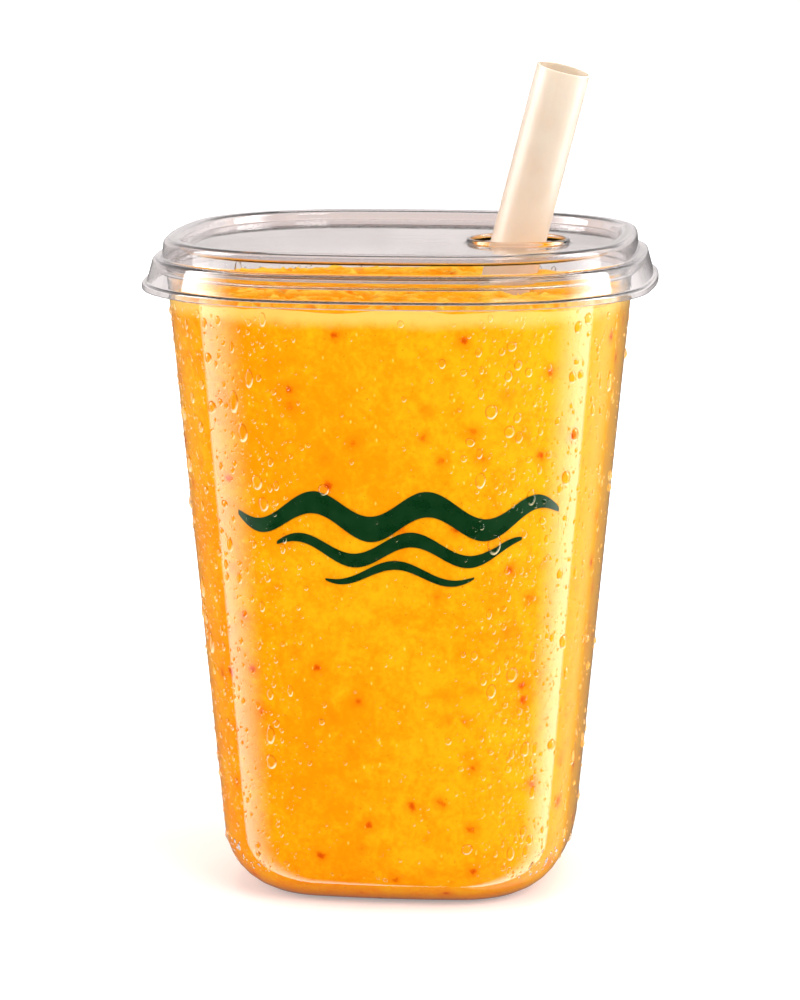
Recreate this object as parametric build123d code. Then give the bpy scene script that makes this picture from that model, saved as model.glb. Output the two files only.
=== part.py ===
from build123d import *
import math
import os

# Mango smoothie in a clear rounded-square cup with a push-fit lid and a wide
# straw. Millimetres, +Z up, the cup stands on z = 0 with its middle at x = y = 0
# and a flat side toward -Y. A section's points are (half width, height, fillet).

# ---- plan shape shared by the cup, the lid and the drink -------------------
# A square with bowed sides: four side arcs and four corner arcs that meet
# tangent. Every ring of the part is an offset of this one outline, so all of
# them share the same eight arc centres.
FOOT_HALF = 35.0         # half width where the wall line meets the table plane
FOOT_CORNER = 21.0       # corner radius there
FOOT_SIDE = 148.0        # side arc radius there

# ---- cup -------------------------------------------------------------------
CUP_WALL = 0.5           # sheet thickness
CUP_HEIGHT = 130.15      # top of the curled rim
CUP_TAPER = 0.094        # half width gained for each mm of height
BASE_ROUND = 13.4        # rounding between wall and base
RING_W = 1.2             # width of the ring that the cup stands on
RING_ROUND = 0.8         # rounding at the ring's inner edge
PUSH_UP = 2.0            # height of the raised middle of the base
PUSH_SLOPE = 2.1         # width of the slope up to it
PUSH_ROUND = 1.0         # rounding at the top of that slope
PUSH_BORDER = 1.5        # flat border between the slope and the floor slab
CURL_R = 1.0             # radius of the rim's curl, to the middle of the sheet
CURL_TURN = 270          # how far round the sheet is curled, degrees

# ---- lid, fitted to the rim ------------------------------------------------
LID_WALL = 0.45
LID_FIT = 0.13           # gap beside the curl where skirt and shoulder meet
LID_SHOULDER_W = 1.8     # width of the shoulder that lies on the rim
LID_RISE = 3.9           # height of the upright wall above the shoulder
LID_DRAW = 0.4           # how far that wall leans in
LID_RIM_W = 3.5          # width of the raised rim
LID_SINK = 2.05          # depth of the panel below the rim's top
LID_SINK_DRAW = 0.4      # how far the wall down to the panel leans in
LID_SLAB_IN = 1.2        # flat border between that wall and the panel's slab
LID_SKIRT_H = 4.7        # height of the skirt below the shoulder
LID_SKIRT_FLARE = 1.3    # how far the skirt flares out
LID_FLANGE_W = 1.0       # width of the flange at the skirt's foot
LID_FLANGE_H = 1.6       # height of its turned-down edge
FLANGE_ROUND = 0.65      # roundings of the section, from the flange inward
SKIRT_ROUND = 0.25
SHOULDER_ROUND = 0.7
WALL_ROUND = 0.4
RIM_ROUND = 1.2
PANEL_ROUND = 0.4

# ---- straw and its hole ----------------------------------------------------
STRAW_R = 5.5
STRAW_WALL = 0.4
STRAW_RISE = 35.35       # height of the top end's middle above the lid's panel
STRAW_FOOT = (-10.1, 10.8)   # where the axis ends above the floor
STRAW_REST = 0.02        # gap between the straw's lower edge and the floor
HOLE = (23.5, 0.0)       # middle of the hole, on the lid's middle line
HOLE_GAP = 4.2           # gap between the straw and the edge of the hole
COLLAR_W = 0.9           # width of the raised collar round the hole
COLLAR_H = 0.9           # height of the collar above the panel
COLLAR_LEAN = 0.15       # how far the collar's outside leans in at its top
COLLAR_ROUND = 0.4
COLLAR_FOOT = 0.9        # flat border of the collar that joins the panel
COLLAR_LIP = 0.42        # thickness of the edge that turns down
COLLAR_LIP_ROUND = 0.2
COLLAR_DROP = 1.1        # how far it turns down below the panel

# ---- drink -----------------------------------------------------------------
HEADROOM = 7.55          # mean level below the rim's top
LEVEL_FALL = 0.013       # drop of the level for each mm toward +Y
LUMPS = 9                # soft heaps and hollows on the surface
LUMP_H = 0.55
LUMP_WIDE = 7.5          # mean spread of a heap
LUMP_FIRST, LUMP_LAST = 14.0, 37.0   # how far out the heaps lie
RIPPLE_H = 0.22
RIPPLE_X, RIPPLE_Y = 20.3, 23.3      # ripple lengths along X and Y
SURFACE_SPARE = 5.0      # how far the patch that trims the drink passes the wall
SURFACE_STEPS = 27       # points along each side of that patch
SPARE = 4.0              # how far the untrimmed fill stands above the level


def corner_offset():
    """Distance of the corner arc centres from the middle, along X and Y."""
    run = FOOT_HALF - FOOT_SIDE
    left = run ** 2 - (FOOT_SIDE - FOOT_CORNER) ** 2
    return (run + math.sqrt(run * run - 2 * left)) / 2


CORNER_C = corner_offset()
SIDE_C = FOOT_HALF - FOOT_SIDE                     # x of the +X side's centre
SIDE_ANGLE = math.degrees(math.atan2(CORNER_C, CORNER_C - SIDE_C))   # half of its arc
CORNER_CUT = FOOT_HALF - FOOT_CORNER               # half width minus corner radius


def outline(half, z):
    """Flat face bounded by the outline with the given half width."""
    edges = []
    for quarter in range(4):
        turn = Rot(0, 0, 90 * quarter)
        side = CenterArc((SIDE_C, 0, 0), half - SIDE_C, -SIDE_ANGLE, 2 * SIDE_ANGLE)
        corner = CenterArc((CORNER_C, CORNER_C, 0), half - CORNER_CUT,
                           SIDE_ANGLE, 90 - 2 * SIDE_ANGLE)
        edges += [turn * side.edge(), turn * corner.edge()]
    return Pos(0, 0, z) * Face(Wire(edges))


def offset_path(path, gap):
    """Path of (half, z, fillet) moved to its left by gap, fillets kept parallel."""
    moved = []
    unit = []
    for (a0, z0, _), (a1, z1, _) in zip(path, path[1:]):
        size = math.hypot(a1 - a0, z1 - z0)
        unit.append(((a1 - a0) / size, (z1 - z0) / size))
    for i, (a, z, r) in enumerate(path):
        before = unit[max(i - 1, 0)]
        after = unit[min(i, len(unit) - 1)]
        n0, n1 = (-before[1], before[0]), (-after[1], after[0])
        scale = gap / (1 + n0[0] * n1[0] + n0[1] * n1[1])
        turn = before[0] * after[1] - before[1] * after[0]
        fillet = 0 if r == 0 else r - math.copysign(gap, turn)
        moved.append((a + (n0[0] + n1[0]) * scale, z + (n0[1] + n1[1]) * scale,
                      max(fillet, 0)))
    return moved


def path_edges(path, shift):
    """Lines and fillet arcs along a path, half widths moved by shift."""
    edges, last = [], None
    for i, (a, z, r) in enumerate(path):
        here = Vector(a + shift, 0, z)
        if 0 < i < len(path) - 1 and r > 0:
            back = Vector(path[i - 1][0] + shift, 0, path[i - 1][1]) - here
            on = Vector(path[i + 1][0] + shift, 0, path[i + 1][1]) - here
            back, on = back.normalized(), on.normalized()
            half = math.acos(max(-1, min(1, back.dot(on)))) / 2
            start, end = here + back * (r / math.tan(half)), here + on * (r / math.tan(half))
            middle = here + (back + on).normalized() * (r / math.sin(half) - r)
            edges.append(Line(last, start).edge())
            edges.append(ThreePointArc(start, middle, end).edge())
            last = end
        else:
            if last is not None:
                edges.append(Line(last, here).edge())
            last = here
    return edges


def arc_edges(centre, radius, start, turn, shift):
    """Arc round centre, in pieces of at most 90 degrees."""
    pieces = max(1, math.ceil(abs(turn) / 90))
    step = turn / pieces

    def at(angle):
        rad = math.radians(angle)
        return Vector(centre[0] + shift + radius * math.cos(rad), 0,
                      centre[1] + radius * math.sin(rad))
    return [ThreePointArc(at(start + step * i), at(start + step * (i + 0.5)),
                          at(start + step * (i + 1))).edge() for i in range(pieces)]


def loop(first, second):
    """Edges of a closed section: two runs joined by a straight line at each end."""
    return (first + [Line(first[-1] @ 1, second[0] @ 0).edge()] + second
            + [Line(second[-1] @ 1, first[0] @ 0).edge()])


def ring(profile):
    """Eight solids: profile(shift) gives the section's edges, swept round the outline."""
    side = Solid.revolve(Face(Wire(profile(-SIDE_C))), 2 * SIDE_ANGLE, Axis.Z)
    corner = Solid.revolve(Face(Wire(profile(-CORNER_CUT))), 90 - 2 * SIDE_ANGLE, Axis.Z)
    side_piece = Pos(SIDE_C, 0, 0) * Rot(0, 0, -SIDE_ANGLE) * side
    corner_piece = Pos(CORNER_C, CORNER_C, 0) * Rot(0, 0, SIDE_ANGLE) * corner
    return [Rot(0, 0, 90 * quarter) * piece for quarter in range(4)
            for piece in (side_piece, corner_piece)]


def only_solid(shape):
    solids = shape.solids()
    assert len(solids) == 1, len(solids)
    return solids[0]


def join(pieces):
    """One solid from pieces that meet face to face."""
    return only_solid(pieces[0].fuse(*pieces[1:]).clean())


# ---- cup -------------------------------------------------------------------
tilt = math.atan(CUP_TAPER)
out = (math.cos(tilt), -math.sin(tilt))            # away from the wall
curl_in, curl_out = CURL_R - CUP_WALL / 2, CURL_R + CUP_WALL / 2
curl_z = CUP_HEIGHT - curl_out
wall_top_z = curl_z - curl_in * out[1]
wall_top_a = FOOT_HALF + CUP_TAPER * wall_top_z
curl_a = wall_top_a + curl_in * out[0]
curl_start = 180 - math.degrees(tilt)
base_flat = FOOT_HALF + CUP_TAPER * BASE_ROUND - BASE_ROUND / out[0]
ring_in = base_flat - RING_W
push_edge = ring_in - PUSH_SLOPE
floor_half = push_edge - PUSH_BORDER
floor_z = PUSH_UP + CUP_WALL

cup_outer = [(floor_half, PUSH_UP, 0), (push_edge, PUSH_UP, PUSH_ROUND),
             (ring_in, 0, RING_ROUND), (FOOT_HALF, 0, BASE_ROUND),
             (wall_top_a, wall_top_z, 0)]
cup_inner = offset_path(cup_outer, CUP_WALL)


def cup_section(shift):
    centre = (curl_a, curl_z)
    hook_in = arc_edges(centre, curl_in, curl_start, -CURL_TURN, shift)
    hook_out = arc_edges(centre, curl_out, curl_start - CURL_TURN, CURL_TURN, shift)
    return loop(path_edges(cup_outer, shift) + hook_in,
                hook_out + path_edges(cup_inner[::-1], shift))


cup_floor = extrude(outline(floor_half, PUSH_UP), CUP_WALL, dir=(0, 0, 1))
cup = join(ring(cup_section) + [cup_floor.solid()])

# ---- lid -------------------------------------------------------------------
shoulder_z = CUP_HEIGHT + LID_WALL
skirt_top = curl_a + curl_out + LID_FIT + LID_WALL
skirt_foot = skirt_top + LID_SKIRT_FLARE
flange_z = shoulder_z - LID_SKIRT_H
wall_foot = skirt_top - LID_SHOULDER_W
wall_top = wall_foot - LID_DRAW
rim_z = shoulder_z + LID_RISE
rim_in = wall_top - LID_RIM_W
panel_in = rim_in - LID_SINK_DRAW
panel_z = rim_z - LID_SINK
panel_low = panel_z - LID_WALL
slab_half = panel_in - LID_SLAB_IN

lid_outer = [(skirt_foot + LID_FLANGE_W, flange_z - LID_FLANGE_H, 0),
             (skirt_foot + LID_FLANGE_W, flange_z, FLANGE_ROUND),
             (skirt_foot, flange_z, SKIRT_ROUND), (skirt_top, shoulder_z, SHOULDER_ROUND),
             (wall_foot, shoulder_z, WALL_ROUND), (wall_top, rim_z, RIM_ROUND),
             (rim_in, rim_z, RIM_ROUND), (panel_in, panel_z, PANEL_ROUND),
             (slab_half, panel_z, 0)]
lid_inner = offset_path(lid_outer, LID_WALL)


def lid_section(shift):
    return loop(path_edges(lid_outer, shift), path_edges(lid_inner[::-1], shift))


hole_r = STRAW_R + HOLE_GAP
collar_top = panel_z + COLLAR_H
collar_end = panel_low - COLLAR_DROP
collar_out = hole_r + COLLAR_W
collar_border = collar_out + COLLAR_FOOT
collar_upper = [(collar_border, panel_z, 0), (collar_out, panel_z, COLLAR_ROUND),
                (collar_out - COLLAR_LEAN, collar_top, COLLAR_ROUND),
                (hole_r, collar_top, COLLAR_ROUND - COLLAR_LEAN),
                (hole_r, collar_end, 0)]
collar_lower = [(collar_border, panel_low, 0),
                (hole_r + COLLAR_LIP, panel_low, COLLAR_LIP_ROUND),
                (hole_r + COLLAR_LIP, collar_end, 0)]


def collar_section():
    return loop(path_edges(collar_upper, 0), path_edges(collar_lower[::-1], 0))


lid_panel = extrude(outline(slab_half, panel_low), LID_WALL, dir=(0, 0, 1))
hole_cut = Pos(*HOLE, panel_low) * Solid.make_cylinder(collar_border, LID_WALL)
collar = Pos(*HOLE, 0) * Solid.revolve(Face(Wire(collar_section())), 360, Axis.Z)
lid = join(ring(lid_section) + [(lid_panel - hole_cut).solid(), collar])


# ---- straw: from the floor through the middle of the hole ------------------
def straw_line(foot_z):
    """Axis direction from a foot at the given height to the hole's middle."""
    return (Vector(*HOLE, panel_z) - Vector(*STRAW_FOOT, foot_z)).normalized()


level_lean = straw_line(floor_z)
end_drop = STRAW_R * math.sqrt(1 - level_lean.Z ** 2)   # edge below the axis's end
foot = Vector(*STRAW_FOOT, floor_z + STRAW_REST + end_drop)
lean = straw_line(foot.Z)
straw_length = (panel_z + STRAW_RISE - foot.Z) / lean.Z
straw_plane = Plane(origin=foot, z_dir=lean)
straw_rod = Solid.make_cylinder(STRAW_R, straw_length, straw_plane)
straw_bore = Solid.make_cylinder(STRAW_R - STRAW_WALL, straw_length, straw_plane)
straw = only_solid(straw_rod - straw_bore)

# ---- drink: fills the cup to a softly heaped surface -----------------------
level = CUP_HEIGHT - HEADROOM
fill_top = level + SPARE
fill_half = FOOT_HALF + CUP_TAPER * fill_top


def surface_z(x, y):
    """Height of the drink's surface: a slight fall to the back, heaps, ripples."""
    z = level - LEVEL_FALL * y
    for i in range(LUMPS):
        share = math.sqrt((i + 0.4) / LUMPS)
        away = LUMP_FIRST + (LUMP_LAST - LUMP_FIRST) * share
        angle = 2.4 * i + 0.7
        wide = LUMP_WIDE * (1 + 0.4 * math.sin(3.1 * i))
        gap2 = (x - away * math.cos(angle)) ** 2 + (y - away * math.sin(angle)) ** 2
        z += LUMP_H * math.cos(1.9 * i) * math.exp(-gap2 / (2 * wide ** 2))
    u, v = 2 * math.pi * x / RIPPLE_X, 2 * math.pi * y / RIPPLE_Y
    z += RIPPLE_H * math.sin(u + 0.8 * math.sin(v / 3))
    z += RIPPLE_H * math.sin(v + 1.1 * math.sin(u / 3) + 1.0)
    return z


def fill_section(shift):
    """The inside of the cup's section, cut level at fill_top."""
    a0, z0, _ = cup_inner[-2]
    a1, z1, _ = cup_inner[-1]
    wall_a = a0 + (a1 - a0) * (fill_top - z0) / (z1 - z0)
    edges = path_edges(cup_inner[:-1] + [(wall_a, fill_top, 0)], shift)
    top = Line(edges[-1] @ 1, Vector(floor_half + shift, 0, fill_top)).edge()
    return edges + [top, Line(top @ 1, edges[0] @ 0).edge()]


core = extrude(outline(floor_half, floor_z), fill_top - floor_z, dir=(0, 0, 1))
fill = join(ring(fill_section) + [core.solid()])
patch = fill_half + SURFACE_SPARE
places = [patch * (2 * i / (SURFACE_STEPS - 1) - 1) for i in range(SURFACE_STEPS)]
grid = [[Vector(x, y, surface_z(x, y)) for x in places] for y in places]
surface = Face.make_surface_from_array_of_points(grid, tol=5e-3, min_deg=3, max_deg=5)
below = Solid.extrude(surface, Vector(0, 0, -fill_top - SPARE))
smoothie = only_solid((fill & below) - straw)

os.makedirs("parts", exist_ok=True)
for name, solid in (("cup", cup), ("lid", lid), ("straw", straw), ("smoothie", smoothie)):
    export_step(solid, f"parts/{name}.step")
    print(name, round(solid.volume), "mm3, valid" if solid.is_valid else "mm3, NOT VALID")
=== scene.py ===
import itertools
import math
import random

import bpy
import numpy as np
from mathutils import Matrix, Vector, noise


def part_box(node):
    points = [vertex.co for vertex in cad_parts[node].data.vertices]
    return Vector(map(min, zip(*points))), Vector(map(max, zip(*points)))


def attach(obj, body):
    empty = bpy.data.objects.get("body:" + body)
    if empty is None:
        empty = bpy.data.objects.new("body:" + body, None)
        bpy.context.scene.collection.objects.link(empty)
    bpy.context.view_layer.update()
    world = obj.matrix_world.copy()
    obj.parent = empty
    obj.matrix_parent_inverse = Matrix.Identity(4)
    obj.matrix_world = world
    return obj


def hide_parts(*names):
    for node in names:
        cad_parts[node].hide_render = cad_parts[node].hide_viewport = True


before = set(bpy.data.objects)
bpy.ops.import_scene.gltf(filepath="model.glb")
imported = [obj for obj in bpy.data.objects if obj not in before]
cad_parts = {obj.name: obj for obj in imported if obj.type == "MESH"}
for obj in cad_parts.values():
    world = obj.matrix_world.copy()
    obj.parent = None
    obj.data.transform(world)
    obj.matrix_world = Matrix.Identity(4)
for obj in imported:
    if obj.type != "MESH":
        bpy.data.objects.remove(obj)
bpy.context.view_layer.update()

mm = 0.001

# A mango smoothie in a clear rounded-square cup with a push-fit lid and a wide straw.
# Sizes are millimetres until a mesh is made. Sections are lists of (half width, height,
# fillet) swept round one outline of eight tangent arcs that all the rings share.
plan = {
    "footHalf": 35.0,        # half width where the wall line meets the table
    "footCorner": 21.0,      # corner radius there
    "footSide": 148.0,       # radius of the bowed sides there
    "cornerSteps": 46,
    "sideSteps": 14,
    "arcStep": math.radians(11),
}
sideCentre = plan["footHalf"] - plan["footSide"]
cornerCut = plan["footHalf"] - plan["footCorner"]
arcGap = plan["footSide"] - plan["footCorner"]
cornerCentre = (sideCentre + math.sqrt(2 * arcGap ** 2 - sideCentre ** 2)) / 2
sideAngle = math.atan2(cornerCentre, cornerCentre - sideCentre)
cornerSweep = math.pi / 2 - 2 * sideAngle


def outlineTable(finer=1):
    # arc centre x and y, radius less half width, and angle, once round from the front
    rows = []
    for quarter in range(4):
        turn = (quarter - 1) * math.pi / 2
        arcs = (((sideCentre, 0.0), -sideCentre, -sideAngle, 2 * sideAngle,
                 plan["sideSteps"] * finer),
                ((cornerCentre, cornerCentre), -cornerCut, sideAngle, cornerSweep,
                 plan["cornerSteps"] * finer))
        for (cx, cy), extra, start, sweep, steps in arcs:
            x = cx * math.cos(turn) - cy * math.sin(turn)
            y = cx * math.sin(turn) + cy * math.cos(turn)
            rows += [(x, y, extra, turn + start + sweep * k / steps) for k in range(steps)]
    return np.array(rows)


def ringAt(table, half, height):
    radius = half + table[:, 2]
    x = table[:, 0] + radius * np.cos(table[:, 3])
    y = table[:, 1] + radius * np.sin(table[:, 3])
    return np.stack([x, y, np.broadcast_to(height, x.shape)], 1)


def offsetPath(path, gap):
    # the same section moved to its left, fillets kept parallel
    unit = []
    for (a0, z0, _), (a1, z1, _) in zip(path, path[1:]):
        size = math.hypot(a1 - a0, z1 - z0)
        unit.append(((a1 - a0) / size, (z1 - z0) / size))
    moved = []
    for i, (a, z, fillet) in enumerate(path):
        before, after = unit[max(i - 1, 0)], unit[min(i, len(unit) - 1)]
        left0, left1 = (-before[1], before[0]), (-after[1], after[0])
        scale = gap / (1 + left0[0] * left1[0] + left0[1] * left1[1])
        turn = before[0] * after[1] - before[1] * after[0]
        parallel = 0 if fillet == 0 else max(fillet - math.copysign(gap, turn), 0)
        moved.append((a + (left0[0] + left1[0]) * scale,
                      z + (left0[1] + left1[1]) * scale, parallel))
    return moved


def samplePath(path, longest=4.0):
    # points along a section: fillets as short chords, long straights cut up
    points = []

    def straight(end):
        if points:
            gap = math.dist(points[-1], end)
            if gap < 1e-6:
                return
            cuts = max(1, math.ceil(gap / longest))
            start = points[-1]
            for k in range(1, cuts):
                points.append(tuple(s + (e - s) * k / cuts for s, e in zip(start, end)))
        points.append(end)

    for i, (a, z, fillet) in enumerate(path):
        if fillet == 0 or i in (0, len(path) - 1):
            straight((a, z))
            continue
        back = Vector((path[i - 1][0] - a, path[i - 1][1] - z)).normalized()
        on = Vector((path[i + 1][0] - a, path[i + 1][1] - z)).normalized()
        half = back.angle(on) / 2
        centre = Vector((a, z)) + (back + on).normalized() * (fillet / math.sin(half))
        start = Vector((a, z)) + back * (fillet / math.tan(half)) - centre
        end = Vector((a, z)) + on * (fillet / math.tan(half)) - centre
        sweep = math.atan2(start.x * end.y - start.y * end.x, start.dot(end))
        steps = max(2, math.ceil(abs(sweep) / plan["arcStep"]))
        for k in range(steps + 1):
            turned = sweep * k / steps
            c, s = math.cos(turned), math.sin(turned)
            straight((centre.x + start.x * c - start.y * s,
                      centre.y + start.x * s + start.y * c))
    return points


def gridMesh(name, loops, closed=False, first=None, last=None):
    # quads between closed loops of points, with an end point to close each open end
    loops = np.asarray(loops, float)
    count, around = loops.shape[:2]
    points = loops.reshape(-1, 3)
    ids = np.arange(count * around).reshape(count, around)
    nextIds = np.roll(ids, -1, axis=1)
    rows = range(count if closed else count - 1)
    faces = []
    for r in rows:
        q = (r + 1) % count
        faces += np.stack([ids[r], nextIds[r], nextIds[q], ids[q]], 1).tolist()
    for point, r, flip in ((first, 0, True), (last, count - 1, False)):
        if point is not None:
            tip = len(points)
            points = np.vstack([points, point])
            fan = np.stack([ids[r], nextIds[r], np.full(around, tip)], 1)
            faces += (fan[:, ::-1] if flip else fan).tolist()
    mesh = bpy.data.meshes.new(name)
    mesh.from_pydata((points * mm).tolist(), [], faces)
    mesh.update()
    return mesh


def addPiece(name, mesh, material, stands=()):
    mesh.materials.append(material)
    for polygon in mesh.polygons:
        polygon.use_smooth = True
    piece = bpy.data.objects.new(name, mesh)
    bpy.context.scene.collection.objects.link(piece)
    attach(piece, "root")
    if stands:
        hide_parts(*stands)
    return piece


def letLightThrough(piece):
    # clear pieces neither shade nor tint the soft light on what they hold
    piece.visible_shadow = False
    piece.visible_diffuse = False


class Wire:
    # a socket whose sums are written as plain maths
    def __init__(self, shader, socket):
        self.shader, self.socket = shader, socket

    def maths(self, operation, *values):
        sockets = {f"n{slot}": value for slot, value in enumerate(values)}
        return self.shader.out(self.shader.node("Math", {"operation": operation}, **sockets))

    def __add__(self, other):
        return self.maths("ADD", self, other)

    def __sub__(self, other):
        return self.maths("SUBTRACT", self, other)

    def __rsub__(self, other):
        return self.maths("SUBTRACT", other, self)

    def __mul__(self, other):
        return self.maths("MULTIPLY", self, other)

    def __truediv__(self, other):
        return self.maths("DIVIDE", self, other)

    def __pow__(self, other):
        return self.maths("POWER", self, other)

    __radd__, __rmul__ = __add__, __mul__

    def between(self, low, high):
        # 0 at low, 1 at high, smooth in between; low may be the greater
        flip = low > high
        made = self.shader.node("MapRange", {"interpolation_type": "SMOOTHSTEP"}, Value=self,
                                From_Min=min(low, high), From_Max=max(low, high),
                                To_Min=float(flip), To_Max=float(not flip))
        return self.shader.out(made, "Result")


class Shader:
    # a material's or the world's node tree, with one way to add any node
    def __init__(self, owner):
        owner.use_nodes = True
        self.owner, self.tree = owner, owner.node_tree
        self.tree.nodes.clear()

    def node(self, kind, settings=None, **sockets):
        made = self.tree.nodes.new("ShaderNode" + kind)
        for key, value in (settings or {}).items():
            setattr(made, key, value)
        for key, value in sockets.items():
            # a socket goes by its name, or as n and its number where names repeat
            numbered = key[0] == "n" and key[1:].isdigit()
            socket = made.inputs[int(key[1:]) if numbered else key.replace("_", " ")]
            if isinstance(value, Wire):
                self.tree.links.new(value.socket, socket)
            else:
                socket.default_value = value
        return made

    def out(self, made, name=0):
        return Wire(self, made.outputs[name])

    def mix(self, factor, first, second, blend="MIX"):
        settings = {"data_type": "RGBA", "blend_type": blend}
        made = self.node("Mix", settings, n0=factor, n6=first, n7=second)
        return self.out(made, 2)

    def place(self):
        return self.out(self.node("TexCoord"), "Object")

    def stretch(self, vector, scale):
        made = self.node("VectorMath", {"operation": "MULTIPLY"}, n0=vector, n1=scale)
        return self.out(made)

    def noise(self, vector, size, detail=3.0, rough=0.5, warp=0.0):
        made = self.node("TexNoise", None, Vector=vector, Scale=1 / (size * mm),
                         Detail=detail, Roughness=rough, Distortion=warp)
        return self.out(made, "Fac")

    def spots(self, vector, cell):
        # distance to the nearest spot in millimetres, and a random number for each spot
        made = self.node("TexVoronoi", None, Vector=vector, Scale=1 / (cell * mm))
        parts = self.node("SeparateColor", None, Color=self.out(made, "Color"))
        return self.out(made, "Distance") * cell, self.out(parts, 0)

    def bump(self, height, distance, strength=1.0, under=None):
        extra = {"Normal": under} if under else {}
        made = self.node("Bump", None, Height=height, Distance=distance * mm,
                         Strength=strength, **extra)
        return self.out(made)

    def finish(self, made, name=0):
        isWorld = isinstance(self.owner, bpy.types.World)
        target = "OutputWorld" if isWorld else "OutputMaterial"
        self.node(target, None, Surface=self.out(made, name))
        return self.owner


def newShader(name):
    return Shader(bpy.data.materials.new(name))


def grey(tone):
    return (tone, tone, tone, 1.0)


def span(value, start, end):
    # 1 between the two, with a soft start and a soft end
    return value.between(*start) * value.between(*end)


# clear sheet: bright glass-like plastic with draw marks from forming and faint smears
sheet = {
    "cupTint": (0.985, 0.975, 0.965, 1.0),
    "lidTint": (0.90, 0.868, 0.868, 1.0),
    "index": 1.5,
    "ripple": 7.0,           # size of the forming ripples
    "rippleHeight": 0.006,
    "drawMark": (1.2, 1.2, 16.0),
    "drawHeight": 0.004,
    "smear": 12.0,
    "smearShare": (0.45, 0.75),
    "roughness": (0.004, 0.016),    # everywhere, and added where smeared
}


def clearSheet(name, tint):
    s = newShader(name)
    place = s.place()
    ripple = s.noise(place, sheet["ripple"], 2.0)
    marks = s.noise(s.stretch(place, tuple(1 / v for v in sheet["drawMark"])), 1.0, 2.0)
    smear = s.noise(place, sheet["smear"], 5.0, 0.6, 0.8).between(*sheet["smearShare"])
    low = s.bump(marks, sheet["drawHeight"])
    normal = s.bump(ripple, sheet["rippleHeight"], under=low)
    least, added = sheet["roughness"]
    body = s.node("BsdfPrincipled", None, Base_Color=tint, Roughness=least + smear * added,
                  Normal=normal, IOR=sheet["index"], Transmission_Weight=1.0)
    return s.finish(body)


cup = {
    "wall": 0.5,
    "taper": 0.094,
    "baseRound": 13.4,
    "ringWidth": 1.2,
    "ringRound": 0.8,
    "pushUp": 2.0,
    "pushSlope": 2.1,
    "pushRound": 1.0,
    "pushBorder": 1.5,
    "curl": 1.0,
    "curlTurn": math.radians(270),
    "floorRings": 6,
}
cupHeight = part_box("cup")[1].z / mm
tilt = math.atan(cup["taper"])
curlIn, curlOut = cup["curl"] - cup["wall"] / 2, cup["curl"] + cup["wall"] / 2
curlZ = cupHeight - curlOut
wallTopZ = curlZ + curlIn * math.sin(tilt)
wallTopHalf = plan["footHalf"] + cup["taper"] * wallTopZ
curlHalf = wallTopHalf + curlIn * math.cos(tilt)
baseFlat = (plan["footHalf"] + cup["taper"] * cup["baseRound"]
            - cup["baseRound"] / math.cos(tilt))
ringIn = baseFlat - cup["ringWidth"]
floorHalf = ringIn - cup["pushSlope"] - cup["pushBorder"]
floorZ = cup["pushUp"] + cup["wall"]
cupOuter = [(floorHalf, cup["pushUp"], 0),
            (ringIn - cup["pushSlope"], cup["pushUp"], cup["pushRound"]),
            (ringIn, 0, cup["ringRound"]), (plan["footHalf"], 0, cup["baseRound"]),
            (wallTopHalf, wallTopZ, 0)]


def curlPoints(radius, start, sweep):
    steps = math.ceil(abs(sweep) / plan["arcStep"])
    angles = [start + sweep * k / steps for k in range(steps + 1)]
    return [(curlHalf + radius * math.cos(a), curlZ + radius * math.sin(a)) for a in angles]


def shrinking(ring, centre, count):
    # rings that close in on a centre, the given ring left out
    return [centre + (ring - centre) * (1 - k / count) for k in range(1, count)]


def makeCup():
    table = outlineTable()
    start = math.pi - tilt
    outer = samplePath(cupOuter)
    inner = samplePath(offsetPath(cupOuter, cup["wall"]))[::-1]
    hookIn = curlPoints(curlIn, start, -cup["curlTurn"])[1:]
    hookOut = curlPoints(curlOut, start - cup["curlTurn"], cup["curlTurn"])[:-1]
    loops = [ringAt(table, a, z) for a, z in outer + hookIn + hookOut + inner]
    low, high = np.array((0, 0, cup["pushUp"])), np.array((0, 0, floorZ))
    loops = (shrinking(loops[0], low, cup["floorRings"])[::-1] + loops
             + shrinking(loops[-1], high, cup["floorRings"]))
    mesh = gridMesh("cup", loops, first=low, last=high)
    plastic = clearSheet("clearCup", sheet["cupTint"])
    piece = addPiece("clearCup", mesh, plastic, ["cup"])
    letLightThrough(piece)


makeCup()
print("cup made")

lid = {
    "wall": 0.45,
    "fit": 0.13,
    "shoulder": 1.8,
    "draw": 0.4,
    "rimWidth": 3.5,
    "sink": 2.05,
    "sinkDraw": 0.4,
    "slabIn": 1.2,
    "skirt": 4.7,
    "flare": 1.3,
    "flange": 1.0,
    "flangeHeight": 1.6,
    "rounds": (0.65, 0.25, 0.7, 0.4, 1.2, 1.2, 0.4),
    "edgeRound": 0.2,
    "sectionStep": 1.2,      # longest chord along the section, and along the collar's
    "collarStep": 1.0,
    "panelRings": 10,
    "hole": (23.5, 0.0),
    "holeRadius": 9.7,
    "collarWidth": 0.9,
    "collarHeight": 0.9,
    "collarLean": 0.15,
    "collarRound": 0.4,
    "collarFoot": 0.9,
    "collarLip": 0.42,
    "lipRound": 0.2,
    "tipRound": 0.18,
    "collarDrop": 1.1,
}
shoulderZ = cupHeight + lid["wall"]
skirtTop = curlHalf + curlOut + lid["fit"] + lid["wall"]
skirtFoot = skirtTop + lid["flare"]
flangeZ = shoulderZ - lid["skirt"]
wallFoot = skirtTop - lid["shoulder"]
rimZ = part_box("lid")[1].z / mm
rimIn = wallFoot - lid["draw"] - lid["rimWidth"]
panelZ = rimZ - lid["sink"]
panelIn = rimIn - lid["sinkDraw"]
slabHalf = panelIn - lid["slabIn"]
panelLow = panelZ - lid["wall"]


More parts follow.
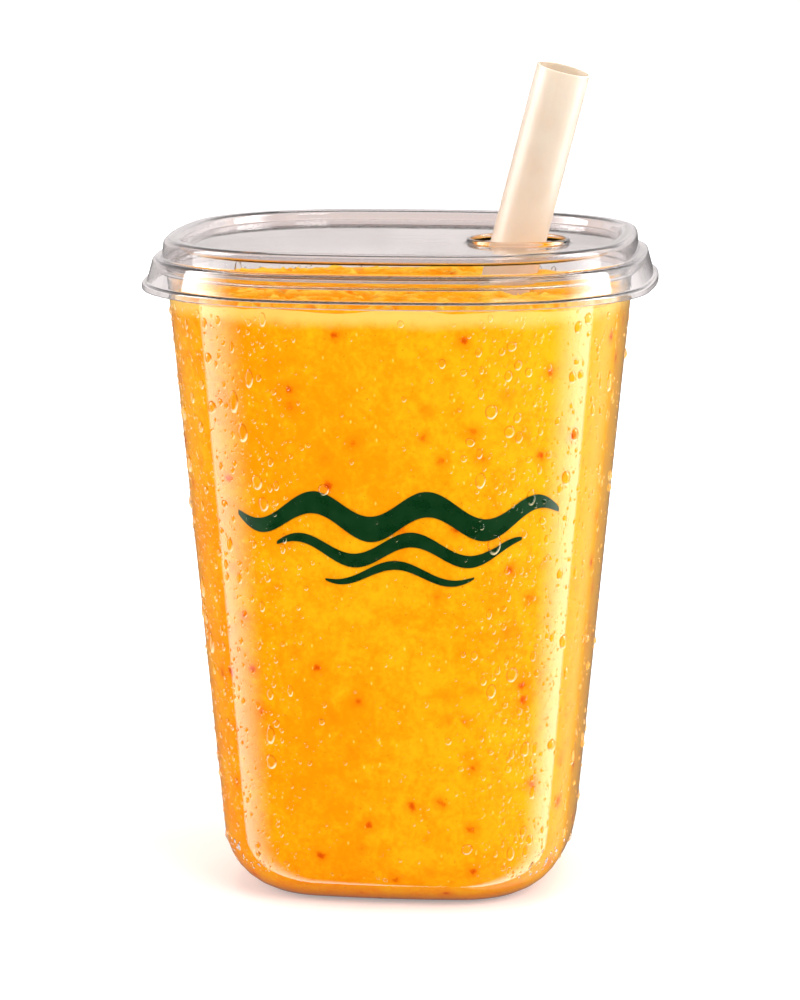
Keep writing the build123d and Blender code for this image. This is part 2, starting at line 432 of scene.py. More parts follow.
def circleRings(guide, path):
    # rings round the straw hole, each point in line with the guide ring's point
    hole = np.array(lid["hole"])
    away = guide[:, :2] - hole
    angle = np.arctan2(away[:, 1], away[:, 0])
    rings = []
    for radius, z in path:
        x, y = hole[0] + radius * np.cos(angle), hole[1] + radius * np.sin(angle)
        rings.append(np.stack([x, y, np.full_like(x, z)], 1))
    return rings


def makeLid():
    table = outlineTable()
    spots = [(skirtFoot + lid["flange"], flangeZ - lid["flangeHeight"]),
             (skirtFoot + lid["flange"], flangeZ), (skirtFoot, flangeZ),
             (skirtTop, shoulderZ), (wallFoot, shoulderZ), (wallFoot - lid["draw"], rimZ),
             (rimIn, rimZ), (panelIn, panelZ), (slabHalf, panelZ)]
    rounds = (0, *lid["rounds"], 0)
    outer = [(a, z, fillet) for (a, z), fillet in zip(spots, rounds)]
    inner = offsetPath(outer, lid["wall"])[::-1]
    middle = ((outer[0][0] + inner[-1][0]) / 2, outer[0][1])
    outer[0] = (*outer[0][:2], lid["edgeRound"])
    inner[-1] = (*inner[-1][:2], lid["edgeRound"])
    step, seam = lid["sectionStep"], [(*middle, 0)]
    top = [ringAt(table, a, z) for a, z in samplePath(seam + outer, step)]
    under = [ringAt(table, a, z) for a, z in samplePath(inner + seam, step)][:-1]

    holeRadius, collarTop = lid["holeRadius"], panelZ + lid["collarHeight"]
    collarOut, lip = holeRadius + lid["collarWidth"], holeRadius + lid["collarLip"]
    border, end = collarOut + lid["collarFoot"], panelLow - lid["collarDrop"]
    collar = [(border, panelZ, 0), (collarOut, panelZ, lid["collarRound"]),
              (collarOut - lid["collarLean"], collarTop, lid["collarRound"]),
              (holeRadius, collarTop, lid["collarRound"] - lid["collarLean"]),
              (holeRadius, end, lid["tipRound"]), (lip, end, lid["tipRound"]),
              (lip, panelLow, lid["lipRound"]), (border, panelLow, 0)]
    rings = circleRings(top[-1], samplePath(collar, lid["collarStep"]))
    count = lid["panelRings"]
    upper = [top[-1] + (rings[0] - top[-1]) * k / count for k in range(1, count)]
    lower = [rings[-1] + (under[0] - rings[-1]) * k / count for k in range(1, count)]
    mesh = gridMesh("lid", top + upper + rings + lower + under, closed=True)
    plastic = clearSheet("clearLid", sheet["lidTint"])
    piece = addPiece("clearLid", mesh, plastic, ["lid"])
    letLightThrough(piece)


makeLid()
print("lid made")

straw = {
    "radius": 5.5,
    "wall": 0.4,
    "rise": 35.35,
    "foot": (-10.1, 10.8),
    "rest": 0.02,
    "around": 96,
    "endRound": 0.17,
    "step": 6.0,
    "colour": (0.70, 0.575, 0.46, 1.0),
    "paler": (0.76, 0.67, 0.57, 1.0),
    "cloud": 9.0,            # size of the paler patches
    "grain": 0.5,            # width of the drawn-out grain
    "grainHeight": 0.012,
    "roughness": (0.44, 0.12),      # least, and added by the grain
    "index": 1.62,
    "coatRoughness": 0.45,
    "coatIndex": 1.6,
    "lightUnder": 0.6,       # share of light that spreads under the surface
}


def strawPlastic():
    s = newShader("creamStraw")
    place = s.place()
    cloud = s.noise(place, straw["cloud"], 3.0).between(0.3, 0.7)
    grain = s.noise(s.stretch(place, (1.0, 1.0, 0.06)), straw["grain"], 3.0)
    colour = s.mix(cloud * 0.6, straw["colour"], straw["paler"])
    normal = s.bump(grain, straw["grainHeight"])
    least, added = straw["roughness"]
    body = s.node("BsdfPrincipled", None, Base_Color=colour, Roughness=least + grain * added,
                  Normal=normal, IOR=straw["index"], Coat_Weight=1.0,
                  Coat_Roughness=straw["coatRoughness"], Coat_IOR=straw["coatIndex"],
                  Subsurface_Weight=straw["lightUnder"],
                  Subsurface_Radius=(1.0, 0.8, 0.55), Subsurface_Scale=1.2 * mm)
    return s.finish(body)


def strawAxis():
    # foot of the axis and its direction, toward the middle of the hole
    hole = Vector((*lid["hole"], panelZ))
    lean = (hole - Vector((*straw["foot"], floorZ))).normalized()
    drop = straw["radius"] * math.sqrt(1 - lean.z ** 2)
    foot = Vector((*straw["foot"], floorZ + straw["rest"] + drop))
    return foot, (hole - foot).normalized()


def makeStraw():
    foot, lean = strawAxis()
    length = (panelZ + straw["rise"] - foot.z) / lean.z
    side = lean.cross(Vector((0, 1, 0))).normalized()
    front = lean.cross(side)
    outer, bore, end = straw["radius"], straw["radius"] - straw["wall"], straw["endRound"]
    path = [(outer, length / 2, 0), (outer, length, end), (bore, length, end),
            (bore, 0, end), (outer, 0, end), (outer, length / 2, 0)]
    angles = np.linspace(0, 2 * math.pi, straw["around"], endpoint=False)
    ring = np.outer(np.cos(angles), side) + np.outer(np.sin(angles), front)
    loops = [np.array(foot) + np.array(lean) * along + ring * radius
             for radius, along in samplePath(path, straw["step"])[:-1]]
    mesh = gridMesh("straw", loops, closed=True)
    addPiece("creamStraw", mesh, strawPlastic(), ["straw"])


makeStraw()
print("straw made")

drink = {
    "seed": 5,               # for how the folds bend
    "headroom": 7.55,
    "fall": 0.013,
    "lumps": 9,
    "lumpHeight": 0.55,
    "lumpWide": 7.5,
    "lumpPlaces": (14.0, 37.0),
    "rippleHeight": 0.22,
    "ripples": (20.3, 23.3),
    "intoWall": 0.25,        # how far the drink's skin lies inside the cup's sheet
    "surfaceRings": 120,
    "topRings": 8,           # rings in the top of the side, where it follows the surface
    "topDepth": 6.0,
    "foldSize": (12.0, 6.5),
    "foldHeight": 2.1,
    "foldLayer": 3.7,        # which slice of the noise is taken
    "foldWander": 0.6,
    "foldKind": (0.9, 2.1, 4, 0.9, 1.6),     # fall-off, octave step, octaves, offset, gain
    "foldMiddle": 0.9,
    "foldAtWall": 0.12,
    "fineSize": 1.7,
    "fineHeight": 0.10,
    "edgeCalm": 5.0,         # the folds die down this near the wall
    "orange": (0.95, 0.290, 0.0015, 1.0),
    "yellow": (0.97, 0.440, 0.006, 1.0),
    "pulp": (0.92, 0.265, 0.001, 1.0),
    "froth": (1.0, 0.60, 0.13, 1.0),
    # the painted highlight on the tops of the folds, and the painted shade in the valleys
    # between them
    "foldHighlight": (1.0, 0.66, 0.075, 1.0),
    "valleyShade": (0.86, 0.235, 0.001, 1.0),
    "redCore": (0.66, 0.06, 0.001, 1.0),
    "redHalo": (0.90, 0.20, 0.001, 1.0),
    "darkSpeck": (0.50, 0.16, 0.003, 1.0),
    "bubble": (1.0, 0.72, 0.12, 1.0),
    # painted shade, mixed in toward the foot of the drink
    "foot": (0.74, 0.21, 0.002, 1.0),
    "frothDepth": 3.2,
    "drift": 34.0,           # sizes of what the colour varies with
    "mottle": 5.0,
    "grain": 1.1,
    "strings": 2.2,
    "swoosh": 2.6,
    "frothEdge": 9.0,
    "fleckCell": 7.5,        # one spot of each kind in a cell of this size
    "speckCell": 1.9,
    "bubbleCell": 1.7,
    # roughness, roughness added by grain, grain height, mottle height, mirror level
    "wetFinish": (0.16, 0.12, 0.10, 0.5, 0.07),
    "sideFinish": (0.55, 0.10, 0.02, 0.05, 0.0),
}
level = cupHeight - drink["headroom"]


def calmSurface(x, y):
    # soft heaps and ripples, as the solid has them
    z = level - drink["fall"] * y
    near, far = drink["lumpPlaces"]
    for i in range(drink["lumps"]):
        away = near + (far - near) * math.sqrt((i + 0.4) / drink["lumps"])
        angle = 2.4 * i + 0.7
        wide = drink["lumpWide"] * (1 + 0.4 * math.sin(3.1 * i))
        gap2 = (x - away * math.cos(angle)) ** 2 + (y - away * math.sin(angle)) ** 2
        z = z + drink["lumpHeight"] * math.cos(1.9 * i) * np.exp(-gap2 / (2 * wide ** 2))
    u = 2 * math.pi * x / drink["ripples"][0]
    v = 2 * math.pi * y / drink["ripples"][1]
    z = z + drink["rippleHeight"] * np.sin(u + 0.8 * np.sin(v / 3))
    return z + drink["rippleHeight"] * np.sin(v + 1.1 * np.sin(u / 3) + 1.0)


def foldedSurface(ring, inward):
    # heights with folds and fine grain, and how high in a fold each point is; inward is
    # the distance from the wall
    z = calmSurface(ring[:, 0], ring[:, 1])
    share = min(max(inward / drink["edgeCalm"], 0.0), 1.0)
    least, (wide, deep) = drink["foldAtWall"], drink["foldSize"]
    strength = least + (1 - least) * share * share * (3 - 2 * share)
    folds = []
    for x, y in ring[:, :2]:
        spot = Vector((x / wide, y / deep, drink["foldLayer"]))
        spot += noise.noise_vector(spot * 0.8) * drink["foldWander"]
        fold = noise.ridged_multi_fractal(spot, *drink["foldKind"])
        fine = noise.noise(Vector((x, y, 0.0)) / drink["fineSize"])
        folds.append((fold - drink["foldMiddle"], fine))
    folds = np.array(folds)
    z += strength * folds @ (drink["foldHeight"], drink["fineHeight"])
    return z, 0.5 + folds[:, 0]


def smoothieFlesh(name, wet):
    s = newShader(name)
    place = s.place()
    parts = s.node("SeparateXYZ", None, Vector=place)
    x, z = s.out(parts, 0) / mm, s.out(parts, 2) / mm

    # broad drifts of ripe and pale fruit, yellower toward the right, with painted light
    # toward the corners, then mottling, then pulp
    drift = s.noise(place, drink["drift"], 2.0, 0.5, 0.4)
    mottle = s.noise(place, drink["mottle"], 4.0, 0.6, 0.5)
    grain = s.noise(place, drink["grain"], 4.0, 0.8)
    # painted light: the drink turns yellower toward the corners, where the side lights fall
    aside = x.maths("ABSOLUTE", x).between(24.0, 44.0)
    ripeAndPaintedLight = ((drift - 0.5) * 0.9 + x * 0.006 + aside * 0.35
            + (mottle - 0.5) * 1.5 + (grain - 0.5) * 1.5)
    colour = s.mix((ripeAndPaintedLight + 0.44).between(0.0, 1.0), drink["orange"], drink["yellow"])
    strings = s.noise(s.stretch(place, (1.0, 1.0, 0.45)), drink["strings"], 4.0, 0.7, 1.6)
    colour = s.mix(strings.between(0.54, 0.70) * 0.5, colour, drink["pulp"])

    # soft red flecks with a halo, dark specks and pale bubbles
    wander = s.noise(place, 1.6, 4.0, 0.7)
    gap, pick = s.spots(place, drink["fleckCell"])
    ragged = gap + (wander - 0.5) * 2.2
    chosen = pick.between(0.16, 0.20)
    colour = s.mix(ragged.between(2.9, 0.2) * chosen * 0.6, colour, drink["redHalo"])
    colour = s.mix(ragged.between(1.15, 0.2) * chosen * 0.85, colour, drink["redCore"])
    gap, pick = s.spots(place, drink["speckCell"])
    speck = gap.between(0.26, 0.08) * pick.between(0.50, 0.52)
    colour = s.mix(speck * 0.55, colour, drink["darkSpeck"])
    gap, pick = s.spots(s.stretch(place, (1.0, 1.0, 0.5)), drink["bubbleCell"])
    bubble = gap.between(0.28, 0.08) * pick.between(0.55, 0.57)
    colour = s.mix(bubble * 0.6, colour, drink["bubble"])

    if not wet:
        # a pale frothy band under the surface, and painted shade that darkens the colour
        # toward the foot
        edge = s.noise(place, drink["frothEdge"], 4.0, 0.6)
        depth = (level - z) + (edge - 0.5) * 3.0
        froth = depth.between(drink["frothDepth"], 0.3)
        colour = s.mix(froth * 0.85, colour, drink["froth"])
        colour = s.mix(z.between(5.0, 0.8) * 0.9, colour, drink["foot"])
    else:
        # painted highlight on the folds and painted shade between them, and froth where the
        # surface meets the wall
        fold = s.out(s.node("Attribute", {"attribute_name": "fold"}), "Fac")
        streak = s.stretch(place, (0.4, 1.0, 1.0))
        swoosh = s.noise(streak, drink["swoosh"], 5.0, 0.62, 1.4)
        # painted light: pale where the folds rise, dark in the valleys between them
        paintedLight = fold + (swoosh - 0.5) * 1.9
        colour = s.mix(paintedLight.between(0.40, 1.10) * 0.9, colour, drink["foldHighlight"])
        colour = s.mix(paintedLight.between(0.30, -0.35) * 0.8, colour, drink["valleyShade"])
        inward = s.out(s.node("Attribute", {"attribute_name": "inward"}), "Fac")
        colour = s.mix(inward.between(2.2, 0.0) * 0.8, colour, drink["froth"])

    least, added, grainHigh, mottleHigh, mirror = drink["wetFinish" if wet else "sideFinish"]
    normal = s.bump(mottle, mottleHigh, under=s.bump(grain, grainHigh))
    body = s.node("BsdfPrincipled", None, Base_Color=colour, Roughness=least + grain * added,
                  Normal=normal, IOR=1.4, Specular_IOR_Level=mirror,
                  Subsurface_Weight=0.12, Subsurface_Radius=(1.0, 0.45, 0.12),
                  Subsurface_Scale=1.2 * mm)
    return s.finish(body)


def makeDrink():
    noise.seed_set(drink["seed"])
    table = outlineTable(2)
    skin = offsetPath(cupOuter, cup["wall"] - drink["intoWall"])
    a0, z0, _ = skin[-2]
    a1, z1, _ = skin[-1]

    def halfAt(z):
        return a0 + (a1 - a0) * (z - z0) / (z1 - z0)

    wallRing = ringAt(table, halfAt(level), level)
    wallRing[:, 2], wallFold = foldedSurface(wallRing, 0.0)
    topFoot, steps = level - drink["topDepth"], drink["topRings"]
    lower = skin[:-1] + [(halfAt(topFoot), topFoot, 0)]
    loops = [ringAt(table, a, z) for a, z in samplePath(lower, 2.0)]
    start = loops[-1]
    for k in range(1, steps + 1):
        z = start[:, 2] + (wallRing[:, 2] - start[:, 2]) * k / steps
        radius = halfAt(z) + table[:, 2]
        x = table[:, 0] + radius * np.cos(table[:, 3])
        y = table[:, 1] + radius * np.sin(table[:, 3])
        loops.append(np.stack([x, y, z], 1))
    floor = np.array((0, 0, skin[0][1]))
    bottom = shrinking(loops[0], floor, cup["floorRings"])[::-1]
    mesh = gridMesh("smoothieSide", bottom + loops, first=floor)
    addPiece("smoothieSide", mesh, smoothieFlesh("smoothieBody", False),
             ["smoothie"])

    top, folds, inward = [loops[-1]], [wallFold], [np.zeros(len(wallFold))]
    count = drink["surfaceRings"]
    for k in range(1, count + 1):
        fromWall = halfAt(level) * k / count
        ring = loops[-1] * (1 - k / count) if k < count else np.zeros((1, 3))
        ring[:, 2], fold = foldedSurface(ring, fromWall)
        top.append(ring)
        folds.append(fold)
        inward.append(np.full(len(fold), fromWall))
    mesh = gridMesh("smoothieTop", top[:-1], last=top[-1][0])
    for name, values in (("fold", folds), ("inward", inward)):
        mesh.attributes.new(name, "FLOAT", "POINT").data.foreach_set(
            "value", np.concatenate(values))
    addPiece("smoothieTop", mesh, smoothieFlesh("smoothieSurface", True),
             ["smoothie"])


makeDrink()
print("smoothie made")

drops = {
    "seed": 11,
    # for each piece: how many, least and greatest radius, corners round, rings up
    "kinds": {"condensation": ((150, 0.80, 1.40, 16, 5), (600, 0.48, 0.80, 10, 4),
                               (2500, 0.22, 0.48, 7, 3)),
              "mist": ((7000, 0.09, 0.22, 6, 2),)},
    "heights": (6.5, 122.5),
    "contact": math.radians(54),    # angle at which a drop meets the wall
    "sink": 0.03,
    "bare": (12.0, 26.0),    # few drops nearer a face's middle, the full number farther off
    "bareShare": 0.07,
    "smaller": 1.5,          # above 1, small drops are the more common
    "cell": 2.5,             # at least as wide as two drops that must not meet
    "apart": 1.2,
    "drawn": 2.5,            # above 1, drops that are drawn out are the rarer
    "narrow": 0.28,
    "wobble": (0.07, 0.04),
    "sag": 0.15,
    "index": 1.28,
    # how much of each drop's painted highlight crescent shows
    "crescentHighlightShare": 0.85,
    "clear": (1.0, 1.0, 1.0, 1.0),
    # painted shade for the upper rim of each drop, then the colour of its painted highlight
    "deep": (0.66, 0.42, 0.16, 1.0),
    "bright": (1.0, 0.84, 0.50, 1.0),
}


def wallAt(z):
    # half width and lean of the outer wall at a height
    turnZ = cup["baseRound"] * (1 - math.sin(tilt))
    if z >= turnZ:
        return plan["footHalf"] + cup["taper"] * z, tilt
    lean = math.asin((cup["baseRound"] - z) / cup["baseRound"])
    return baseFlat + cup["baseRound"] * math.cos(lean), lean


def wallFrame(along, z):
    # point of the outer wall at a distance round from the front's middle, its outward
    # direction, the way round and the way up
    half, lean = wallAt(z)
    sideLength = 2 * sideAngle * (half - sideCentre)
    quarterLength = sideLength + cornerSweep * (half - cornerCut)
    quarter, rest = divmod(along + sideLength / 2, quarterLength)
    turn = (quarter - 1) * math.pi / 2
    if rest < sideLength:
        centre, radius = Vector((sideCentre, 0)), half - sideCentre
        angle = -sideAngle + rest / radius
    else:
        centre, radius = Vector((cornerCentre, cornerCentre)), half - cornerCut
        angle = sideAngle + (rest - sideLength) / radius
    c, s = math.cos(turn), math.sin(turn)
    x = centre.x * c - centre.y * s + radius * math.cos(turn + angle)
    y = centre.x * s + centre.y * c + radius * math.sin(turn + angle)
    flat = Vector((math.cos(turn + angle), math.sin(turn + angle), 0))
    out = flat * math.cos(lean) - Vector((0, 0, math.sin(lean)))
    up = flat * math.sin(lean) + Vector((0, 0, math.cos(lean)))
    return Vector((x, y, z)), out, Vector((-flat.y, flat.x, 0)), up


def perimeter(z):
    half = wallAt(z)[0]
    return 4 * (2 * sideAngle * (half - sideCentre) + cornerSweep * (half - cornerCut))


def waterDrops():
    # a painted highlight in a crescent low in each drop, and painted shade in the rim above
    # it, which is deeper in tone
    s = newShader("waterDrops")
    parts = s.node("SeparateXYZ", None,
                   Vector=s.out(s.node("Attribute", {"attribute_name": "inDrop"}), "Vector"))
    across, up = s.out(parts, 0), s.out(parts, 1)
    rim = (across * across + up * up) ** 0.5
    low = (across * 0.45 - up).between(0.15, 1.0)
    paintedCrescent = span(rim, (0.60, 0.80), (1.0, 0.92)) * low
    tint = s.mix(rim.between(0.6, 0.95) * (1 - low) * 0.75, drops["clear"], drops["deep"])
    normal = s.bump(s.noise(s.place(), 0.5, 2.0), 0.004)
    water = s.node("BsdfPrincipled", None, Base_Color=tint, Normal=normal, Roughness=0.0,
                   IOR=drops["index"], Transmission_Weight=1.0)
    # a pale diffuse shader that paints the highlight in the crescent
    bright = s.node("BsdfDiffuse", None, Color=drops["bright"])
    return s.finish(s.node("MixShader", None, Fac=paintedCrescent * drops["crescentHighlightShare"],
                           n1=s.out(water), n2=s.out(bright)))


def dropLoops(rand, radius, around, rings):
    # one drop, a cap drawn out downward: rings of (round, up, out) and its tip
    drawn = 1 + rand.random() ** drops["drawn"] * (1.0 if radius > 0.2 else 0.5)
    phase = rand.uniform(-2.5, 2.5)
    ball, meet = radius / math.sin(drops["contact"]), drops["contact"]
    (twice, thrice), sag = drops["wobble"], drops["sag"]
    loops = []
    for k in range(rings):
        tilted = meet * (1 - k / rings)
        reach, lift = ball * math.sin(tilted), ball * (math.cos(tilted) - math.cos(meet))
        loop = []
        for j in range(around):
            angle = 2 * math.pi * j / around
            up = math.sin(angle)
            narrow = 1 - drops["narrow"] * (drawn - 1) * max(up, 0)
            wobble = 1 + twice * math.sin(2 * angle + phase) + thrice * math.sin(3 * angle)
            loop.append((reach * math.cos(angle) * narrow * wobble,
                         reach * up * drawn * wobble - sag * lift, lift * narrow))
        loops.append(loop)
    top = ball * (1 - math.cos(meet))
    return loops, (0, -sag * top, top), drawn


def dropSpot(rand, small, large, placed):
    # a radius and a place on the wall, or nothing where the wall is bare or taken
    low, high = drops["heights"]
    near, far = drops["bare"]
    z = low + (high - low) * rand.random()
    quarter = perimeter(z) / 4
    along = rand.random() * quarter * 4
    fromMiddle = abs((along + quarter / 2) % quarter - quarter / 2)
    chance = max((fromMiddle - near) / (far - near), drops["bareShare"])
    if rand.random() > chance:
        return None
    radius = small + (large - small) * rand.random() ** drops["smaller"]
    place = wallFrame(along, z)
    i, j, k = (int(v // drops["cell"]) for v in place[0])
    for cell in itertools.product((i - 1, i, i + 1), (j - 1, j, j + 1), (k - 1, k, k + 1)):
        for other, reach in placed.get(cell, ()):
            if (place[0] - other).length < radius + reach:
                return None
    placed.setdefault((i, j, k), []).append((place[0], radius * drops["apart"]))
    return radius, place


def dropFaces(start, around, rings):
    # the faces of a drop whose points begin at start: its cap and its flat back
    cap, back = [], []
    for r in range(rings - 1):
        for j in range(around):
            a, b = start + r * around + j, start + r * around + (j + 1) % around
            cap.append((a, b, b + around, a + around))
    last, tip = start + (rings - 1) * around, start + rings * around
    for j in range(around):
        cap.append((last + j, last + (j + 1) % around, tip))
        back.append((start + (j + 1) % around, start + j, tip + 1))
    return cap, back


def makeDrops(name, sizes, rand, placed, water):
    points, caps, inDrop, backs = [], [], [], []
    for count, small, large, corners, rings in sizes:
        made = 0
        while made < count:
            found = dropSpot(rand, small, large, placed)
            if found is None:
                continue
            made += 1
            radius, (spot, out, aside, up) = found
            loops, tip, drawn = dropLoops(rand, radius, corners, rings)
            cap, back = dropFaces(len(points), corners, rings)
            caps += cap
            backs += back
            base = spot - out * drops["sink"]
            flat = [point for loop in loops for point in loop]
            points += [base + aside * u + up * v + out * w for u, v, w in flat + [tip]]
            points.append(base)
            inDrop += [(u / radius, v / (radius * drawn), 0) for u, v, _ in flat]
            inDrop += [(0, 0, 0), (0, 0, 0)]
    mesh = bpy.data.meshes.new(name)
    mesh.from_pydata([tuple(p * mm) for p in points], [], caps + backs)
    mesh.attributes.new("inDrop", "FLOAT_VECTOR", "POINT").data.foreach_set(
        "vector", np.array(inDrop, float).ravel())
    piece = addPiece(name, mesh, water)
    mesh.polygons.foreach_set("use_smooth", [True] * len(caps) + [False] * len(backs))
    letLightThrough(piece)
    print(name, "made:", sum(count for count, *_ in sizes), "drops")


dropRand, dropPlaces, dropWater = random.Random(drops["seed"]), {}, waterDrops()
for dropKind, dropSizes in drops["kinds"].items():
    makeDrops(dropKind, dropSizes, dropRand, dropPlaces, dropWater)

band = {
    "height": 79.4,          # middle of the printed band above the table
    "shift": 4.0,            # its middle, to the right of the face's middle
    "ink": (0.0, 0.030, 0.004, 1.0),
    "thinInk": (0.003, 0.055, 0.010, 1.0),
    "lift": 0.03,
    "steps": 120,
    "across": 6,
    "taper": 0.45,
    # length, thickness, swing, wave length, start, drop below the middle
    "waves": ((68.0, 5.2, 2.6, 22.7, 0.0, -3.2), (50.0, 3.0, 2.2, 22.7, 0.9, 3.6),
              (30.0, 1.8, 1.8, 22.7, 1.8, 8.4)),
}


def bandInk():
    s = newShader("greenInk")
    place = s.place()
    cloud = s.noise(place, 3.0, 4.0).between(0.3, 0.7)
    colour = s.mix(cloud * 0.5, band["ink"], band["thinInk"])
    normal = s.bump(s.noise(place, 0.6, 3.0), 0.006)
    body = s.node("BsdfPrincipled", None, Base_Color=colour, Roughness=0.25 + cloud * 0.1,
                  Normal=normal)
    return s.finish(body)


def makeBand():
    # plain tapering waves, each a thin closed strip of ink on the wall
    ink, steps, across = bandInk(), band["steps"], band["across"]
    for number, (length, thick, swing, wave, start, drop) in enumerate(band["waves"]):
        loops = []
        for k in range(1, steps):
            share = k / steps
            along = length * (share - 0.5)
            width = thick / 2 * math.sin(math.pi * share) ** band["taper"]
            centre = band["height"] - drop + swing * math.sin(
                2 * math.pi * along / wave + start)
            rims = [centre + width * (2 * j / across - 1) for j in range(across + 1)]
            loop = []
            for heights, lift in ((rims, band["lift"]), (rims[::-1], -band["lift"])):
                for z in heights:
                    spot, out, _, _ = wallFrame(band["shift"] + along, z)
                    loop.append(tuple(spot + out * lift))
            loops.append(loop)
        first = np.mean(loops[0], axis=0)
        last = np.mean(loops[-1], axis=0)
        mesh = gridMesh("wave", loops, first=first, last=last)
        addPiece(f"printedWave{number + 1}", mesh, ink)
        mesh.polygons.foreach_set("use_smooth", [False] * len(mesh.polygons))


makeBand()
print("printed band made")

studio = {
    "azimuth": 6.64,
    "elevation": 10.7,
    "distance": 0.8,
    "aim": 0.065,
    "lens": 173.3,
    "shift": (-0.0045, 0.081),
    "ambient": 0.52,
    # lamps that light what is matt: angle to the right, distance, height, size, level
    "lamps": {"key": (32, 0.95, 0.75, (0.55, 0.55), 6.8),
              "fill": (-38, 1.0, 0.55, (0.55, 0.55), 2.6),
              "left": (-86, 0.65, 0.10, (0.45, 0.8), 2.0),
              "right": (86, 0.65, 0.10, (0.45, 0.8), 2.5),
              "top": (10, 0.10, 1.2, (0.7, 0.7), 2.6),
              "rear": (170, 1.0, 0.55, (0.55, 0.55), 3.6)},
    # lights that glossy things see: level, soft start and soft end in degrees to the right
    "leftStrip": (5.0, (-64, -102), (-109, -105)),
    "rightStrip": (6.6, (66, 102), (110, 105)),
    "rightRest": (0.72, (105, 110), (152, 125)),
    "frontRight": (0.12, (5, 62), (76, 64)),
    "topBox": (7.0, (16, 22), (50, 44)),
    "topBoxUp": ((0.42, 0.48), (0.78, 0.72)),    # its start and end as shares of straight up
    "stripEnd": (0.75, 0.6),
    "higher": 2.8,           # how much brighter the strips are above eye level
    "higherFrom": (0.08, 0.25),
    # the rest of the room that they see
    "backAbove": 0.88,
    "backBelow": 0.16,
    "ceiling": 1.6,
    "frontHigh": 0.4,
    "front": 0.012,
    # what clear things show of the room
    "clearBack": 0.97,
    "clearFront": 0.09,      # seen after a reflection inside the sheet
    "clearAhead": 0.80,      # seen straight through from behind
    "flags": ((98, 111), (124, 133)),    # dark, this many degrees either side
    "flagDark": 0.75,
    "wall": (1.0, 0.955, 0.95, 1.0),     # the room behind the strips is a warm grey
    "floorHalf": 6.0,
    "floorTones": (0.80, 0.84),
    "floorGlow": (0.30, 0.6),    # under the cup, and added by the far end of the next
    "floorGlowAway": (0.04, 0.40),
}


def around(angle, away, height):
    # place at an angle to the right of the camera, seen from above
    turned = math.radians(studio["azimuth"] + angle)
    return Vector((math.sin(turned) * away, -math.cos(turned) * away, height))


def addCamera():
    data = bpy.data.cameras.new("camera")
    data.sensor_fit, data.sensor_width, data.lens = "HORIZONTAL", 36.0, studio["lens"]
    data.shift_x, data.shift_y = studio["shift"]
    data.clip_start = 0.01
    camera = bpy.data.objects.new("camera", data)
    bpy.context.scene.collection.objects.link(camera)
    flat = math.cos(math.radians(studio["elevation"])) * studio["distance"]
    rise = math.sin(math.radians(studio["elevation"])) * studio["distance"]
    camera.location = around(0, flat, studio["aim"] + rise)
    look = Vector((0, 0, studio["aim"])) - camera.location
    camera.rotation_euler = look.to_track_quat("-Z", "Y").to_euler()
    bpy.context.scene.camera = camera


def addLamp(name, angle, away, height, size, strength):
    # a soft box of even brightness, given as its radiance, that only lights matt things
    data = bpy.data.lights.new(name, "AREA")
    data.shape, (data.size, data.size_y) = "RECTANGLE", size
    data.energy = strength * math.pi * size[0] * size[1]
    lamp = bpy.data.objects.new(name, data)
    bpy.context.scene.collection.objects.link(lamp)
    lamp.location = around(angle, away, height)
    aim = Vector((0, 0, studio["aim"])) - lamp.location
    lamp.rotation_euler = aim.to_track_quat("-Z", "Y").to_euler()
    lamp.visible_glossy = lamp.visible_transmission = False


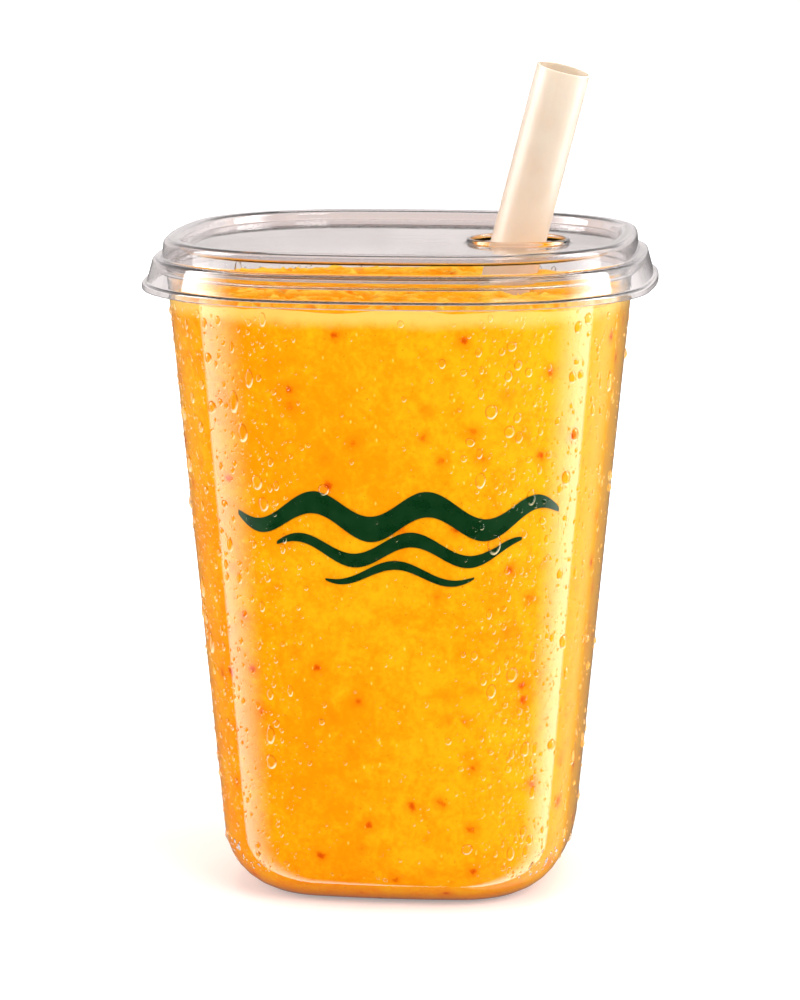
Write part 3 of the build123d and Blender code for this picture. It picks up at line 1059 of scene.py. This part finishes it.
def addRoom():
    # directions: degrees to the right of the camera, and the share that points up
    s = Shader(bpy.data.worlds.new("studio"))
    path = s.node("LightPath")
    seen, gloss = s.out(path, "Is Camera Ray"), s.out(path, "Is Glossy Ray")
    through = s.out(path, "Is Transmission Ray")
    way = s.node("SeparateXYZ", None, Vector=s.out(s.node("TexCoord"), "Generated"))
    x, y, up = (s.out(way, k) for k in range(3))
    turned = math.radians(studio["azimuth"])
    right = x * math.cos(turned) + y * math.sin(turned)
    toward = x * math.sin(turned) - y * math.cos(turned)
    angle = right.maths("ARCTAN2", right, toward) * (180 / math.pi)
    turn = angle.maths("ABSOLUTE", angle)

    def light(name):
        strength, start, end = studio[name]
        return span(angle, start, end) * strength

    # tall strips of light either side, each brightest at its far edge
    strips = ((light("leftStrip") + light("rightStrip") + light("rightRest"))
              * up.between(*studio["stripEnd"])
              * (1 + up.between(*studio["higherFrom"]) * studio["higher"]))
    topBox = light("topBox") * span(up, *studio["topBoxUp"])
    ceiling = (up.between(0.72, 0.95) * studio["ceiling"]
               + turn.between(75, 55) * up.between(0.5, 0.62) * studio["frontHigh"])
    front = studio["front"] + light("frontRight")

    # a cloudy room behind, paler above the table's level than below it
    streaks = s.stretch(s.out(s.node("TexCoord"), "Generated"), (1.0, 1.0, 4.0))
    cloud = 0.5 + s.noise(streaks, 25.0, 3.0)
    low, high = studio["backBelow"], cloud * studio["backAbove"]
    back = turn.between(95, 130) * (low + up.between(-0.08, 0.08) * (high - low))

    # through clear sheet: bright behind, darker ahead, and dark flags either side
    bounced = s.out(path, "Glossy Depth").between(0.4, 0.6)
    ahead = bounced * studio["clearFront"] + (1 - bounced) * studio["clearAhead"]
    bright = studio["clearBack"]
    flag = 0.0
    for near, far in studio["flags"]:
        flag = flag + span(turn, (near, near + 2), (far, far - 2))
    clear = ((bright - toward.between(-0.5, 0.05) * (bright - ahead))
             * (1 - flag * studio["flagDark"]) * (1 - bounced * up.between(0.12, 0.40)))

    matt, mirrored = (1 - gloss) * (1 - through) * (1 - seen), gloss * (1 - through)
    walls = mirrored * (back + front) + through * clear
    lights = seen + matt * studio["ambient"] + mirrored * (strips + topBox + ceiling)
    room = [s.out(s.node("Background", None, Color=colour, Strength=strength))
            for colour, strength in ((studio["wall"], walls), (grey(1.0), lights))]
    s.finish(s.node("AddShader", None, n0=room[0], n1=room[1]))
    bpy.context.scene.world = s.owner


def addFloor():
    s = newShader("paleFloor")
    place = s.place()
    paint = s.noise(place, 40.0, 3.0).between(0.3, 0.7)
    seen = s.out(s.node("LightPath"), "Is Camera Ray")
    away = s.out(s.node("VectorMath", {"operation": "LENGTH"}, n0=place), "Value")
    tone = s.mix(paint * 0.3, *(grey(pale) for pale in studio["floorTones"]))
    least, added = studio["floorGlow"]
    shine = least + away.between(*studio["floorGlowAway"]) * added
    glow = s.mix(seen * shine, grey(0.0), grey(1.0))
    body = s.node("BsdfPrincipled", None, Base_Color=tone, Roughness=0.9,
                  Specular_IOR_Level=0.0, Emission_Color=glow, Emission_Strength=1.0)
    half = studio["floorHalf"]
    corners = [(-half, -half, 0), (half, -half, 0), (half, half, 0), (-half, half, 0)]
    mesh = bpy.data.meshes.new("floor")
    mesh.from_pydata(corners, [], [(0, 1, 2, 3)])
    mesh.materials.append(s.finish(body))
    floor = bpy.data.objects.new("floor", mesh)
    floor.visible_glossy = floor.visible_transmission = False
    bpy.context.scene.collection.objects.link(floor)
    bpy.context.scene.view_settings.view_transform = "Standard"


addCamera()
for lampName, lampSettings in studio["lamps"].items():
    addLamp(lampName, *lampSettings)
addRoom()
addFloor()
print("studio made")
